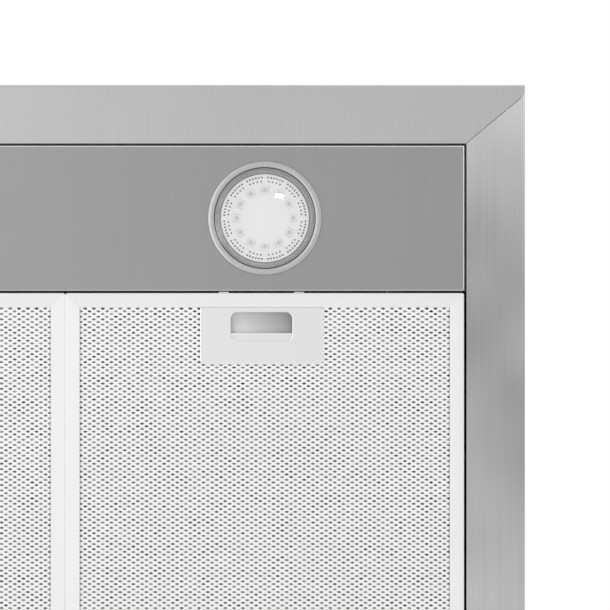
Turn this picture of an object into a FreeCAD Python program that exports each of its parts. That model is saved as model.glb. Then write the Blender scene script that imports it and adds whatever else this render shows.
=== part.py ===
"""Wall-mounted chimney range hood: pyramid canopy, light panel, mesh filters, blower, damper and flue covers.

Frame: +Z up, +X to the right as seen from the front, +Y into the wall.
Origin: on the wall plane, on the centre line, level with the underside of the canopy's rim.
All sizes are in millimetres.
"""
import FreeCAD
import Part
import math
import os

# Canopy sheets
hood_width = 598.0
hood_depth = 490.0
lip_height = 50.0
canopy_height = 245.0
sheet = 1.0
bend_radius = 1.5
rim_width = 38.0
back_rim = 30.0
return_height = 14.0
corner_return = 6.4
seam_gap = 0.4

# Flue covers
flue_width = 270.0
flue_depth = 235.0
flue_lower_length = 320.0
flue_upper_length = 340.0
flue_overlap = 200.0
flue_clearance = 0.5
flue_back_gap = 2.0
flue_back_return = 12.0
flue_slot_count = 6
flue_slot_length = 60.0
flue_slot_width = 5.0
flue_slot_pitch = 14.0
flue_slot_from_top = 30.0

# Light panel and lamps
panel_depth = 95.0
panel_gap = 1.0
panel_recess = 0.4
panel_lip = 6.0
lamp_hole_radius = 35.0
lamp_fit = 0.3
bezel_radius = 37.0
bezel_inner_radius = 33.0
bezel_drop = 1.4
bezel_wall = 1.2
cone_height = 4.5
throat_radius = 28.4
board_thickness = 1.2
chip_size = 5.0
chip_height = 0.8
chip_circle_radius = 18.4
chip_count = 12
lens_thickness = 1.0
can_height = 16.0

# Filters and their latches
filter_recess = 2.0
filter_height = 9.0
filter_border = 9.4
filter_flange = 0.8
filter_web = 1.0
filter_side_gap = 1.4
filter_middle_gap = 0.4
filter_front_gap = 1.1
filter_rear_gap = 1.5
mesh_thickness = 0.8
mesh_grip = 6.0
mesh_columns = 14
mesh_rows = 18
mesh_strand = 4.0
core_folds = 40
core_sheet = 0.6
stack_clearance = 0.1
tab_width = 22.0
tab_thickness = 1.5
tab_reach = 9.0
tab_inset = 40.0
tab_seat = 0.3
latch_width = 80.0
latch_depth = 37.3
latch_offset = -2.2
latch_plate_thickness = 1.2
latch_plate_recess = 0.4
latch_corner = 3.0
finger_width = 40.0
finger_depth = 19.0
finger_corner = 4.5
finger_front = 3.2
finger_lip = 5.6
finger_scoop = 11.0
latch_wall = 1.0
tongue_width = 6.5
tongue_spacing = 49.0
tongue_thickness = 1.5
tongue_clear = 0.3
slider_thickness = 2.0
slide_clear = 0.3
leaf_thickness = 0.5
leaf_width = 8.0

# Blower
blower_width = 112.0
blower_wall = 1.0
scroll_radius = 78.0
scroll_step = 7.0
scroll_centre_height = 148.0
neck_flange = 10.0
neck_flange_thickness = 1.5
inlet_radius = 54.0
inlet_lip = 6.0
wheel_radius = 66.0
wheel_width = 92.0
wheel_blade_depth = 12.0
wheel_blade_count = 30
wheel_blade_thickness = 1.2
wheel_ring = 2.0
wheel_disc = 3.0
hub_radius = 11.0
hub_length = 22.0
shaft_radius = 4.0
shaft_clearance = 0.06
shaft_in_motor = 30.0
motor_radius = 36.0
motor_length = 46.0
spider_thickness = 3.0
spider_ring = 5.0
spider_arm_width = 12.0
spider_arm_count = 3
shaft_end = 3.0

# Outlet collar and damper flaps
top_plate = 1.5
top_upstand = 20.0
collar_radius = 74.5
collar_wall = 2.0
collar_height = 50.0
collar_flange = 14.0
collar_flange_thickness = 2.0
damper_height = 20.0
damper_pin_radius = 2.0
damper_barrel = 3.6
damper_bore_clearance = 0.06
damper_edge_gap = 1.5
flap_thickness = 1.2
flap_seat = 3.0
flap_seat_gap = 0.3
flap_knuckle = 18.0
flap_knuckle_gap = 0.5

# Front controls
button_count = 5
button_width = 18.0
button_height = 14.0
button_corner = 2.0
button_pitch = 23.0
button_travel = 2.5
button_clearance = 0.3
button_flange = 1.5
button_flange_thickness = 2.0
button_stem = 6.0
bezel_margin = 6.0
bezel_fit = 0.2
bezel_flange = 4.0
bezel_flange_thickness = 2.0
control_height = 25.0
switch_depth = 16.0

# Electrical box, fasteners and wall fixing
box_width = 130.0
box_depth = 46.0
box_height = 60.0
box_wall = 1.2
box_from_side = 124.0
capacitor_radius = 14.0
capacitor_length = 34.0
gland_radius = 9.0
gland_length = 16.0
wall_hole_radius = 4.0
wall_hole_spacing_x = 160.0
wall_hole_spacing_z = 120.0
wall_hole_centre = 130.0
bracket_height = 30.0
bracket_drop = 12.0
bracket_hole_spacing = 160.0
bracket_hole_radius = 3.0
flue_screw_spacing = 120.0
screw_radius = 1.9
screw_head_radius = 3.6
screw_head_height = 1.8
screw_length = 5.0

# Worked-out places
half_width = hood_width / 2
front = -hood_depth
aperture_half = half_width - rim_width
aperture_front = front + rim_width
aperture_back = -back_rim
panel_front = aperture_front + panel_gap
panel_back = panel_front + panel_depth
panel_half = aperture_half - panel_gap
panel_top = return_height + sheet
filter_width = aperture_half - filter_side_gap - filter_middle_gap / 2
filter_front = panel_back + filter_front_gap
filter_back = aperture_back - filter_rear_gap
filter_low = filter_recess
filter_top = filter_low + filter_height
filter_centre = filter_middle_gap / 2 + filter_width / 2
filter_axis_y = filter_back + tab_thickness / 2
filter_axis_z = sheet + tab_seat + tab_thickness / 2
window_front = filter_front + filter_border
window_back = filter_back - filter_border
flue_centre = -flue_depth / 2
deck = canopy_height + top_plate
flue_upper_bottom = deck + flue_lower_length - flue_overlap
flue_upper_top = flue_upper_bottom + flue_upper_length
scroll_neck = scroll_step + scroll_radius + 2 * scroll_step
scroll_y = flue_centre - scroll_neck / 2
scroll_z = scroll_centre_height
wheel_y = scroll_y + scroll_step / 2
wheel_z = scroll_z + scroll_step / 2
collar_base = deck
damper_z = collar_base + damper_height
far = 4 * hood_width

X = FreeCAD.Vector(1, 0, 0)
Y = FreeCAD.Vector(0, 1, 0)
Z = FreeCAD.Vector(0, 0, 1)


def point(x, y, z):
    return FreeCAD.Vector(x, y, z)


def block(x0, x1, y0, y1, z0, z1):
    """A box between two corners."""
    return Part.makeBox(x1 - x0, y1 - y0, z1 - z0, point(x0, y0, z0))


def rod(radius, length, base, axis):
    return Part.makeCylinder(radius, length, base, axis)


def tube(outer, inner, length, base, axis):
    return rod(outer, length, base, axis).cut(rod(inner, length, base, axis))


def fuse(pieces):
    """Several solids as one, with the seams between their faces cleaned away."""
    pieces = list(pieces)
    if len(pieces) == 1:
        return pieces[0]
    return pieces[0].multiFuse(pieces[1:]).removeSplitter()


def slab(points, direction):
    """A closed polygon pushed along a direction."""
    return Part.Face(Part.makePolygon(points + points[:1])).extrude(direction)


def prismatoid(low, high):
    """A solid with flat sides between two polygons of as many corners."""
    count = len(low)
    sides = [[low[i], low[(i + 1) % count], high[(i + 1) % count], high[i]] for i in range(count)]
    faces = [Part.Face(Part.makePolygon(loop + loop[:1])) for loop in sides + [low, high]]
    return Part.makeSolid(Part.makeShell(faces))


def round_plate(x0, x1, y0, y1, z0, z1, radius):
    """A flat plate whose four upright corners are rounded."""
    plate = block(x0, x1, y0, y1, z0, z1)
    upright = [e for e in plate.Edges if abs(e.tangentAt(e.FirstParameter).z) > 0.9]
    return plate.makeFillet(radius, upright)


def revolve(profile, x, y):
    """A closed (radius, height) outline turned about the upright axis through (x, y)."""
    loop = [point(r, 0, z) for r, z in profile]
    solid = Part.Face(Part.makePolygon(loop + loop[:1])).revolve(point(0, 0, 0), Z, 360)
    return solid.translated(point(x, y, 0))


def mirrored(shape):
    return shape.mirror(point(0, 0, 0), X)


def write(name, shape):
    """One sub-part to its own file, from its solids."""
    solids = shape.Solids
    out = solids[0] if len(solids) == 1 else Part.makeCompound(solids)
    if not solids or not out.isValid():
        raise ValueError(name + " is not a valid solid")
    out.exportStep(os.path.join("parts", name + ".step"))


def write_pair(name, right):
    write(name + "_right", right)
    write(name + "_left", mirrored(right))


def screws(places, axis):
    """Pan-head screws: each place is the point on the surface, and the axis points into it."""
    made = []
    for place in places:
        head = rod(screw_head_radius, screw_head_height, place - axis * screw_head_height, axis)
        made.append(head.fuse(rod(screw_radius, screw_length, place, axis)).removeSplitter())
    return Part.makeCompound(made)


# Canopy: bent sheets that meet at mitred seams
side_run = (hood_width - flue_width) / 2
front_run = hood_depth - flue_depth
rise = canopy_height - lip_height
side_stretch = math.hypot(side_run, rise) / rise
front_stretch = math.hypot(front_run, rise) / rise


def side_line(z, inset):
    return half_width - inset * side_stretch - side_run * (z - lip_height) / rise


def front_line(z, inset):
    return front + inset * front_stretch + front_run * (z - lip_height) / rise


def canopy_form(inset, back, top):
    """The canopy's outside, taken in by a wall thickness on its bottom, front, sides and slopes."""
    form = block(-half_width + inset, half_width - inset, front + inset, back, inset, top)
    low, high = -lip_height, top + lip_height
    edge = [point(side_line(z, inset), -far / 2, z) for z in (low, high)]
    right = slab(edge + [point(far, -far / 2, high), point(far, -far / 2, low)], Y * far)
    edge = [point(-far / 2, front_line(z, inset), z) for z in (low, high)]
    ahead = slab(edge + [point(-far / 2, -far, high), point(-far / 2, -far, low)], X * far)
    return form.cut(right).cut(mirrored(right)).cut(ahead)


def is_bend(edge):
    """True for the outside edges under the lip, which are bent, but not for the one at the wall."""
    ends = [v.Point for v in edge.Vertexes]
    under = all(abs(p.z) < 1e-6 for p in ends)
    behind = all(abs(p.y) < 1e-6 for p in ends)
    return under and not behind


def canopy_shell():
    outside = canopy_form(0, 0, canopy_height)
    outside = outside.makeFillet(bend_radius, [e for e in outside.Edges if is_bend(e)])
    inside = canopy_form(sheet, sheet, canopy_height + sheet)
    shell = outside.cut(inside)
    hem_half, hem_back = aperture_half + sheet, -sheet - seam_gap
    hem = block(-hem_half, hem_half, aperture_front - sheet, hem_back, 0, return_height)
    window = block(-aperture_half, aperture_half, aperture_front, sheet, -sheet, lip_height)
    return shell.fuse(hem.common(outside)).cut(window).removeSplitter()


def right_share():
    """The room that the right-hand sheet takes: behind the rim's mitre, then behind the sloping hip."""
    run = point(half_width - aperture_half, front + corner_return - aperture_front, 0)
    reach = 12 * sheet
    run.multiply((run.Length + reach) / run.Length)
    inner = point(aperture_half, aperture_front, 0)
    start, end = inner - run * 0.2, inner + run
    plan = [start, end, point(far, end.y, 0), point(far, far, 0), point(start.x, far, 0)]
    low = slab([p - Z * sheet for p in plan], Z * (lip_height + sheet))

    def level(z):
        hip = point(side_line(z, 0), front_line(z, 0), z)
        out = point(side_stretch, -front_stretch, 0) * reach
        near, away = hip - out, hip + out
        return [near, away, point(far, away.y, z), point(far, far, z), point(near.x, far, z)]

    return low, prismatoid(level(lip_height), level(canopy_height + sheet))


def canopy_sheets():
    shell = canopy_shell()
    low, high = right_share()
    right = fuse([shell.common(low), shell.common(high)])
    ahead = shell
    for part in (low, high):
        part = part.translated(Y * -seam_gap)
        ahead = ahead.cut(part).cut(mirrored(part))
    return ahead, right


def back_sheet():
    """The flat wall sheet, with the rear rim bent forward from its foot."""
    inset = sheet + seam_gap
    wall = canopy_form(inset, 0, canopy_height)
    wall = wall.common(block(-far, far, -sheet, 0, 0, canopy_height))
    foot_half = aperture_half - seam_gap
    foot = block(-foot_half, foot_half, aperture_back, 0, 0, sheet)
    skirt = block(-foot_half, foot_half, -sheet, 0, 0, 2 * inset)
    made = fuse([wall, foot, skirt])
    for x in (-1, 1):
        for z in (-1, 1):
            height = wall_hole_centre + z * wall_hole_spacing_z / 2
            place = point(x * wall_hole_spacing_x / 2, -far / 2, height)
            made = made.cut(rod(wall_hole_radius, far, place, Y))
    return made


# Light panel: a steel tray that hangs by its lips on the rim's upturned edge
def light_panel():
    low, high = panel_recess, panel_top
    tray = block(-panel_half, panel_half, panel_front, panel_back, low, high)
    edges = [e for e in tray.Edges if all(abs(v.Z - low) < 1e-6 for v in e.Vertexes)]
    tray = tray.makeFillet(bend_radius, edges)
    tray = tray.cut(block(-panel_half + sheet, panel_half - sheet, panel_front + sheet, panel_back - sheet,
                          low + sheet, high + sheet))
    lip_half, lip_front = panel_half + panel_gap + panel_lip, panel_front - panel_gap - panel_lip
    lip = block(-lip_half, lip_half, lip_front, panel_back, return_height, high)
    lip = lip.cut(block(-panel_half, panel_half, panel_front, panel_back, 0, far))
    made = fuse([tray, lip])
    for x in (-filter_centre, filter_centre):
        made = made.cut(rod(lamp_hole_radius, 2 * sheet, point(x, lamp_y, panel_recess - sheet / 2), Z))
    return made


lamp_y = (panel_front + panel_back) / 2
lamp_x = filter_centre
panel_face = panel_recess
bezel_low = panel_face - bezel_drop
board_low = panel_face + cone_height
can_radius = lamp_hole_radius - lamp_fit


def lamp_bezel():
    """The bright trim ring: a flange under the panel and a conical throat that leads up to the board."""
    mid = panel_face - bezel_drop / 2
    edge = bezel_radius - bezel_drop / 2
    profile = [(bezel_inner_radius, bezel_low), (edge, bezel_low), (bezel_radius, mid),
               (bezel_radius, panel_face), (can_radius, panel_face), (can_radius, board_low),
               (throat_radius, board_low)]
    return revolve(profile, lamp_x, lamp_y)


def lamp_lens():
    """A clear disc held in the throat, just inside the trim ring."""
    mid = bezel_low + lens_thickness
    share = lens_thickness / (board_low - bezel_low)
    span = bezel_inner_radius - throat_radius
    outer = bezel_inner_radius - span * share
    top = mid + lens_thickness
    profile = [(0, mid), (outer, mid), (outer - span * share, top), (0, top)]
    return revolve(profile, lamp_x, lamp_y)


def lamp_board():
    profile = [(0, board_low), (can_radius, board_low), (can_radius, board_low + board_thickness),
               (0, board_low + board_thickness)]
    return revolve(profile, lamp_x, lamp_y)


def lamp_chips():
    """Light-emitting chips in a ring under the board, each turned to face the centre."""
    made = []
    for index in range(chip_count):
        chip = block(chip_circle_radius - chip_size / 2, chip_circle_radius + chip_size / 2,
                     -chip_size / 2, chip_size / 2, board_low - chip_height, board_low)
        chip.rotate(point(0, 0, 0), Z, index * 360 / chip_count)
        made.append(chip.translated(point(lamp_x, lamp_y, 0)))
    return Part.makeCompound(made)


def lamp_can():
    """The rear cup, whose spring ears hold the lamp up against the panel."""
    low, high = board_low + board_thickness, board_low + board_thickness + can_height
    profile = [(can_radius, low), (can_radius, high), (0, high), (0, high - bezel_wall),
               (can_radius - bezel_wall, high - bezel_wall), (can_radius - bezel_wall, low)]
    cup = revolve(profile, lamp_x, lamp_y)
    ears = []
    for side in (-1, 1):
        near, away = can_radius - bezel_wall / 2, can_radius + 4 * bezel_wall
        foot = panel_face + sheet
        ear = [point(side * near, 0, high - bezel_wall), point(side * near, 0, high),
               point(side * (away + bezel_wall), 0, foot), point(side * away, 0, foot)]
        ears.append(slab([p + point(lamp_x, lamp_y - leaf_width / 2, 0) for p in ear], Y * leaf_width))
    return fuse([cup] + ears)


# Filters: aluminium frame, mesh faces, packed core and a sprung latch
latch_centre = filter_centre + latch_offset
latch_x0 = latch_centre - latch_width / 2
latch_x1 = latch_centre + latch_width / 2
latch_back = window_front + latch_depth
plate_low = filter_low + latch_plate_recess
plate_top = plate_low + latch_plate_thickness
finger_y0 = window_front + finger_front
finger_y1 = finger_y0 + finger_depth
lip_edge = finger_y1 - finger_lip
housing_top = filter_top - filter_flange - stack_clearance
slider_low = plate_top + slide_clear
slider_top = slider_low + slider_thickness
grip_top = housing_top - latch_wall - 2 * slide_clear
tongue_places = [latch_centre + side * tongue_spacing / 2 for side in (-1, 1)]
filter_x0 = filter_middle_gap / 2
filter_x1 = filter_x0 + filter_width


def tongue(x, grow, tip):
    """The bar that runs from the slider out through the frame's front edge."""
    half = tongue_width / 2 + grow
    return block(x - half, x + half, tip, finger_y0, slider_low - grow, slider_low + tongue_thickness + grow)


def filter_frame():
    solid = block(filter_x0, filter_x1, filter_front, filter_back, filter_low, filter_top)
    upright = [e for e in solid.Edges if abs(e.tangentAt(e.FirstParameter).z) > 0.9]
    solid = solid.makeFillet(bend_radius, upright)
    window = block(filter_x0 + filter_border, filter_x1 - filter_border, window_front, window_back,
                   filter_low - sheet, filter_top + sheet)
    groove = block(filter_x0 + filter_web, filter_x1 - filter_web, filter_front + filter_web,
                   filter_back - filter_web, filter_low + filter_flange, filter_top - filter_flange)
    made = solid.cut(window).cut(groove)
    for x in tongue_places:
        made = made.cut(tongue(x, slide_clear, filter_front - filter_web))
    return made


def filter_tabs():
    """Two bent strips on the frame's rear edge that hook over the back rim and turn on their rounded bend."""
    low = sheet + tab_seat
    hook_end = filter_back + filter_rear_gap + tab_reach
    made = []
    for x in (filter_x0 + tab_inset, filter_x1 - tab_inset):
        x0, x1 = x - tab_width / 2, x + tab_width / 2
        hook = block(x0, x1, filter_axis_y, hook_end, low, low + tab_thickness)
        web = block(x0, x1, filter_back, filter_back + tab_thickness, filter_axis_z, filter_top - filter_web)
        bend = rod(tab_thickness / 2, tab_width, point(x0, filter_axis_y, filter_axis_z), X)
        made.append(fuse([hook, web, bend]))
    return Part.makeCompound(made)


def latch_room():
    """The corner of the mesh stack that is cut away for the latch."""
    return block(latch_x0 - slide_clear, latch_x1 + slide_clear, filter_front, latch_back + slide_clear,
                 filter_low, filter_top - filter_flange)


mesh_x0 = filter_x0 + filter_border - mesh_grip
mesh_x1 = filter_x1 - filter_border + mesh_grip
mesh_y0 = window_front - mesh_grip
mesh_y1 = window_back + mesh_grip
mesh_low = filter_low + filter_flange
mesh_high = filter_top - filter_flange - stack_clearance


def mesh_sheet(low):
    """An open sheet of diamond gaps in staggered rows, coarser than the real expanded metal."""
    x0, x1 = mesh_x0 + 2 * mesh_grip, mesh_x1 - 2 * mesh_grip
    y0, y1 = mesh_y0 + 2 * mesh_grip, mesh_y1 - 2 * mesh_grip
    pitch_x, pitch_y = (x1 - x0) / mesh_columns, (y1 - y0) / mesh_rows
    half_x, half_y = (pitch_x - mesh_strand) / 2, pitch_y - mesh_strand
    rim = [point(mesh_x0, mesh_y0, low), point(mesh_x1, mesh_y0, low), point(mesh_x1, mesh_y1, low),
           point(mesh_x0, mesh_y1, low)]
    loops = [Part.makePolygon(rim + rim[:1])]
    clear = latch_room()
    for row in range(1, mesh_rows):
        shift = 0.5 if row % 2 else 1.0
        for column in range(mesh_columns if row % 2 else mesh_columns - 1):
            cx, cy = x0 + (column + shift) * pitch_x, y0 + row * pitch_y
            gap = [point(cx - half_x, cy, low), point(cx, cy - half_y, low), point(cx + half_x, cy, low),
                   point(cx, cy + half_y, low)]
            near = clear.BoundBox.XMin - half_x < cx < clear.BoundBox.XMax + half_x
            if not (near and cy < clear.BoundBox.YMax + half_y):
                loops.append(Part.makePolygon(gap + gap[:1]))
    sheet_face = Part.makeFace(loops, "Part::FaceMakerBullseye")
    return sheet_face.extrude(Z * mesh_thickness).cut(clear)


def filter_core():
    """A folded metal layer that keeps the two mesh faces apart."""
    low, high = mesh_low + mesh_thickness, mesh_high - mesh_thickness
    pitch = (mesh_y1 - mesh_y0) / core_folds
    places = [mesh_y0 + k * pitch for k in range(core_folds + 1)]
    upper = [high if k % 2 else low + core_sheet for k in range(core_folds + 1)]
    lower = [high - core_sheet if k % 2 else low for k in range(core_folds + 1)]
    outline = [point(mesh_x0, y, z) for y, z in zip(places, upper)]
    outline += [point(mesh_x0, y, z) for y, z in reversed(list(zip(places, lower)))]
    return slab(outline, X * (mesh_x1 - mesh_x0)).cut(latch_room())


def latch_blank(inset, z0, z1):
    """The latch's outline, drawn in by inset, with its two rear corners rounded."""
    blank = block(latch_x0 + inset, latch_x1 - inset, window_front + inset, latch_back - inset, z0, z1)
    corners = [e for e in blank.Edges if all(abs(v.Y - (latch_back - inset)) < 1e-6 for v in e.Vertexes)
               and abs(e.tangentAt(e.FirstParameter).z) > 0.9]
    return blank.makeFillet(latch_corner - inset, corners)


def latch_plate():
    plate = latch_blank(0, plate_low, plate_top)
    half = finger_width / 2
    return plate.cut(round_plate(latch_centre - half, latch_centre + half, finger_y0, finger_y1,
                                 plate_low - sheet, plate_top + sheet, finger_corner))


def latch_housing():
    """A shallow box that guides the slider, with a hollowed scoop behind the finger opening."""
    low = plate_top
    shell = latch_blank(0, low, housing_top)
    room = latch_blank(latch_wall, low - sheet, housing_top - latch_wall)
    ceiling = housing_top - latch_wall
    x0 = latch_centre - finger_width / 2
    span, rise = finger_scoop + latch_wall, ceiling - low - latch_wall / 2
    radius = (span ** 2 + rise ** 2) / (2 * rise)
    start = point(x0, finger_y0 - latch_wall, ceiling - rise)
    crest = ceiling - radius + math.sqrt(radius ** 2 - (span / 2) ** 2)
    middle = point(x0, finger_y0 + finger_scoop - span / 2, crest)
    end = point(x0, finger_y0 + finger_scoop, ceiling)
    corner = point(x0, finger_y0 - latch_wall, ceiling)
    edges = [Part.Arc(start, middle, end).toShape(), Part.makeLine(end, corner), Part.makeLine(corner, start)]
    scoop = Part.Face(Part.Wire(edges)).extrude(X * finger_width)
    made = fuse([shell.cut(room), scoop])
    for x in tongue_places:
        made = made.cut(tongue(x, slide_clear, filter_front))
    return made


def latch_slider():
    """The sliding bar: a finger lip across the pocket, two arms and two tongues."""
    arm = latch_width / 2 - latch_wall - 2 * slide_clear
    pocket = finger_width / 2 + 2 * slide_clear
    y0 = finger_y0
    y1 = finger_y1 + latch_wall
    bar = block(latch_centre - arm, latch_centre + arm, y0, y1, slider_low, slider_top)
    gap = block(latch_centre - pocket, latch_centre + pocket, y0 - sheet, lip_edge, slider_low - sheet, far)
    x0, x1 = latch_centre - finger_width / 2, latch_centre + finger_width / 2
    grip = block(x0, x1, lip_edge, lip_edge + latch_wall, slider_low, grip_top)
    ends = [tongue(x, 0, panel_back + tongue_clear) for x in tongue_places]
    return fuse([bar.cut(gap), grip] + ends)


def latch_spring():
    """A bowed leaf between the slider's rear edge and the housing's rear wall."""
    y0 = finger_y1 + latch_wall + slide_clear / 2
    y1 = latch_back - latch_wall - slide_clear / 2
    half = latch_width / 4
    z0 = slider_low
    outer = [(-half, y1), (-half / 3, y0), (half / 3, y0), (half, y1)]
    front_edge = [point(latch_centre + x, y, z0) for x, y in outer]
    back_edge = [point(latch_centre + x * (1 - leaf_thickness / half), min(y + leaf_thickness, y1), z0)
                 for x, y in reversed(outer[1:3])]
    ends = [point(latch_centre + side * (half - 2 * leaf_thickness), y1, z0) for side in (1, -1)]
    return slab(front_edge + ends[:1] + back_edge + ends[1:], Z * tongue_thickness)


# Blower: scroll housing, side plates, wheel and motor
def scroll_outline(inset, top):
    """A spiral of three quarter turns that opens into a straight neck, taken in by the wall."""
    r1 = scroll_radius - inset
    r2, r3 = r1 + scroll_step, r1 + 2 * scroll_step
    c1 = (scroll_y, scroll_z)
    c2 = (scroll_y + scroll_step, scroll_z)
    c3 = (scroll_y + scroll_step, scroll_z + scroll_step)

    def at(centre, radius, degrees):
        turn = math.radians(degrees)
        return point(0, centre[0] + radius * math.cos(turn), centre[1] + radius * math.sin(turn))

    neck_front, neck_back = scroll_y + inset, c3[0] + r3
    cutoff = math.degrees(math.acos(inset / r1))
    arcs = [Part.Arc(at(c1, r1, cutoff), at(c1, r1, 135), at(c1, r1, 180)),
            Part.Arc(at(c2, r2, 180), at(c2, r2, 225), at(c2, r2, 270)),
            Part.Arc(at(c3, r3, 270), at(c3, r3, 315), at(c3, r3, 360))]
    end = at(c3, r3, 360)
    lines = [(end, point(0, neck_back, top)), (point(0, neck_back, top), point(0, neck_front, top)),
             (point(0, neck_front, top), at(c1, r1, cutoff))]
    edges = [arc.toShape() for arc in arcs] + [Part.makeLine(a, b) for a, b in lines]
    return Part.Face(Part.Wire(edges))


def blower_scroll():
    half = blower_width / 2
    wall = scroll_outline(0, canopy_height).extrude(X * blower_width).cut(
        scroll_outline(blower_wall, canopy_height + sheet).extrude(X * blower_width))
    wall.translate(X * -half)
    reach = half + blower_wall + neck_flange
    neck_back = scroll_y + scroll_neck
    flange = block(-reach, reach, scroll_y - neck_flange, neck_back + neck_flange,
                   canopy_height - neck_flange_thickness, canopy_height)
    flange = flange.cut(block(-half - blower_wall, half + blower_wall, scroll_y, neck_back, 0, far))
    return fuse([wall, flange])


def blower_side():
    """A side plate with a turned-out inlet lip."""
    face = blower_width / 2
    plate = scroll_outline(0, canopy_height).extrude(X * blower_wall).translated(X * face)
    centre = point(face, wheel_y, wheel_z)
    lip = tube(inlet_radius + blower_wall, inlet_radius, inlet_lip, centre, X)
    return fuse([plate.cut(rod(inlet_radius, blower_wall, centre, X)), lip])


def blower_wheel():
    """Squirrel-cage wheel: blades between two rings, on a centre disc and hub."""
    half = wheel_width / 2
    axis = point(0, wheel_y, wheel_z)
    inner = wheel_radius - wheel_blade_depth
    disc = rod(inner + wheel_blade_depth / 2, wheel_disc, axis - X * (wheel_disc / 2), X)
    hub = rod(hub_radius, hub_length, axis - X * (hub_length / 2), X)
    rings = [tube(wheel_radius, inner, wheel_ring, axis + X * x, X) for x in (-half, half - wheel_ring)]
    blades = []
    for index in range(wheel_blade_count):
        blade = block(-half + wheel_ring / 2, half - wheel_ring / 2, -wheel_blade_thickness / 2,
                      wheel_blade_thickness / 2, inner + sheet / 2, wheel_radius - sheet / 2)
        blade.rotate(point(0, 0, 0), X, index * 360 / wheel_blade_count)
        blades.append(blade.translated(axis))
    return fuse([disc, hub] + rings + blades).cut(
        rod(shaft_radius, hub_length * 2, axis - X * hub_length, X))


motor_face = blower_width / 2 + inlet_lip + spider_thickness
shaft_start = -hub_length / 2 - shaft_end


def blower_shaft():
    length = motor_face + shaft_in_motor - shaft_start
    return rod(shaft_radius, length, point(shaft_start, wheel_y, wheel_z), X)


def blower_motor():
    base = point(motor_face, wheel_y, wheel_z)
    body = rod(motor_radius, motor_length, base, X)
    ends = [e for e in body.Edges if e.BoundBox.XLength < 1e-6]
    body = body.makeFillet(2 * spider_thickness / 3, ends)
    return body.cut(rod(shaft_radius + shaft_clearance, shaft_in_motor + 2 * sheet, base - X * sheet, X))


def motor_spider():
    """A ring behind the motor with arms out to the inlet's lip."""
    base = point(motor_face - spider_thickness, wheel_y, wheel_z)
    ring = tube(motor_radius - spider_ring, shaft_radius + 4 * spider_ring / 5, spider_thickness, base, X)
    arms = []
    for index in range(spider_arm_count):
        arm = block(0, spider_thickness, -spider_arm_width / 2, spider_arm_width / 2,
                    motor_radius - 2 * spider_ring, inlet_radius + blower_wall)
        arm.rotate(point(0, 0, 0), X, index * 360 / spider_arm_count)
        arms.append(arm.translated(base))
    return fuse([ring] + arms)


# Outlet: deck plate, collar and the two damper flaps
def top_deck():
    """The plate that closes the canopy and carries the blower, the collar and the flue cover."""
    half = flue_width / 2
    plate = block(-half, half, -flue_depth, 0, canopy_height, deck)
    inner = half - sheet - flue_clearance
    front_in = -flue_depth + sheet + flue_clearance
    back_in = -flue_back_gap - flue_back_return - flue_clearance
    rail = block(-inner, inner, front_in, back_in, canopy_height, deck + top_upstand)
    rail = rail.cut(block(-inner + sheet, inner - sheet, front_in + sheet, back_in - sheet, 0, far))
    hole = rod(collar_radius - collar_wall, far, point(0, flue_centre, 0), Z)
    return fuse([plate, rail]).cut(hole).cut(flue_screws())


def outlet_collar():
    base = point(0, flue_centre, collar_base)
    inner = collar_radius - collar_wall
    spigot = tube(collar_radius, inner, collar_height, base, Z)
    flange = tube(collar_radius + collar_flange, inner, collar_flange_thickness, base, Z)
    seat_top = damper_height - flap_thickness / 2 - flap_seat_gap
    seat_base = base + Z * (seat_top - flap_thickness)
    seat = tube(inner + collar_wall / 2, inner - flap_seat, flap_thickness, seat_base, Z)
    notch = block(-far, far, flue_centre - damper_barrel - sheet, flue_centre + damper_barrel + sheet,
                  collar_base + seat_top - 2 * flap_thickness, damper_z)
    made = fuse([spigot, flange, seat.cut(notch)])
    bore_radius = damper_pin_radius + damper_bore_clearance
    return made.cut(rod(bore_radius, far, point(-far / 2, flue_centre, damper_z), X))


def damper_pin():
    half = collar_radius - collar_wall / 4
    return rod(damper_pin_radius, 2 * half, point(-half, flue_centre, damper_z), X)


def damper_flap(side, phase):
    """A half disc whose knuckles alternate with those of the other flap along the pin."""
    radius = collar_radius - collar_wall - damper_edge_gap
    centre = point(0, flue_centre, damper_z)
    disc = rod(radius, flap_thickness, centre - Z * (flap_thickness / 2), Z)
    clear = damper_barrel + flap_knuckle_gap
    edge = sorted([side * clear, side * far])
    half = disc.common(block(-far, far, flue_centre + edge[0], flue_centre + edge[1], 0, far))
    made = [half]
    step = 2 * (flap_knuckle + flap_knuckle_gap)
    for index in (-1, 0, 1):
        x0 = (index - 0.5) * step + phase * step / 2 + flap_knuckle_gap / 2
        x1 = x0 + flap_knuckle
        if max(abs(x0), abs(x1)) > math.sqrt(radius ** 2 - clear ** 2) - flap_knuckle_gap:
            continue
        barrel = rod(damper_barrel, flap_knuckle, point(x0, flue_centre, damper_z), X)
        web = sorted([0, side * (clear + flap_thickness)])
        made.append(barrel.fuse(block(x0, x1, flue_centre + web[0], flue_centre + web[1],
                                      damper_z - flap_thickness / 2, damper_z + flap_thickness / 2)))
    bore = rod(damper_pin_radius + damper_bore_clearance, far, point(-far / 2, flue_centre, damper_z), X)
    return fuse(made).cut(bore)


# Flue covers: two channel sheets, open to the wall, one sliding in the other
def flue_cover(half, y0, y1, z0, z1):
    """A channel with rounded front corners and short returns along its rear edges."""
    outside = block(-half, half, y0, y1, z0, z1)
    corners = [e for e in outside.Edges if abs(e.tangentAt(e.FirstParameter).z) > 0.9
               and abs(e.Vertexes[0].Y - y0) < 1e-6]
    outside = outside.makeFillet(bend_radius, corners)
    room = block(-half + sheet, half - sheet, y0 + sheet, y1 - sheet, z0, z1)
    back = block(-half + flue_back_return, half - flue_back_return, y1 - 2 * sheet, y1, z0, z1)
    return outside.cut(room).cut(back)


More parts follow.
